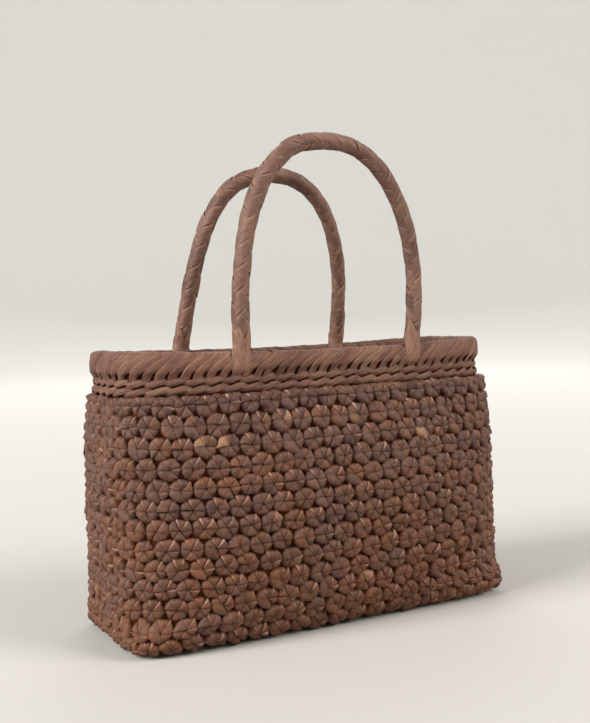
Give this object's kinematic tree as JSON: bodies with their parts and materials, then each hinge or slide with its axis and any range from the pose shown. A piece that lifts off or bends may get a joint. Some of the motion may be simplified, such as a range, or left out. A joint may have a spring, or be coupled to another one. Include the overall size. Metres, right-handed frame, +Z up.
{
  "type": "vine basket bag",
  "caption": "Hollow open-topped handbag of knotted vine flowers with a twined neck, a wrapped rim and two stiff braided arch handles.",
  "frame": {"origin": "middle of the base on the surface that the bag stands on", "axes": "+X along the bag's width, -Y out of its front, +Z up"},
  "size_m": [0.3076, 0.1562, 0.3373],
  "materials": {
    "knotted_bark": "matt aged vine bark, knotted",
    "twined_bark": "matt aged vine bark, twined",
    "wrapped_bark": "satin aged vine bark, wrapped",
    "braided_bark": "satin aged vine bark, braided"
  },
  "bodies": {
    "root": {"basket_body": "knotted_bark", "neck_twine_lower": "twined_bark", "neck_twine_upper": "twined_bark", "rim_binding": "wrapped_bark", "handle_front": "braided_bark", "handle_back": "braided_bark"}
  },
  "joints": []
}
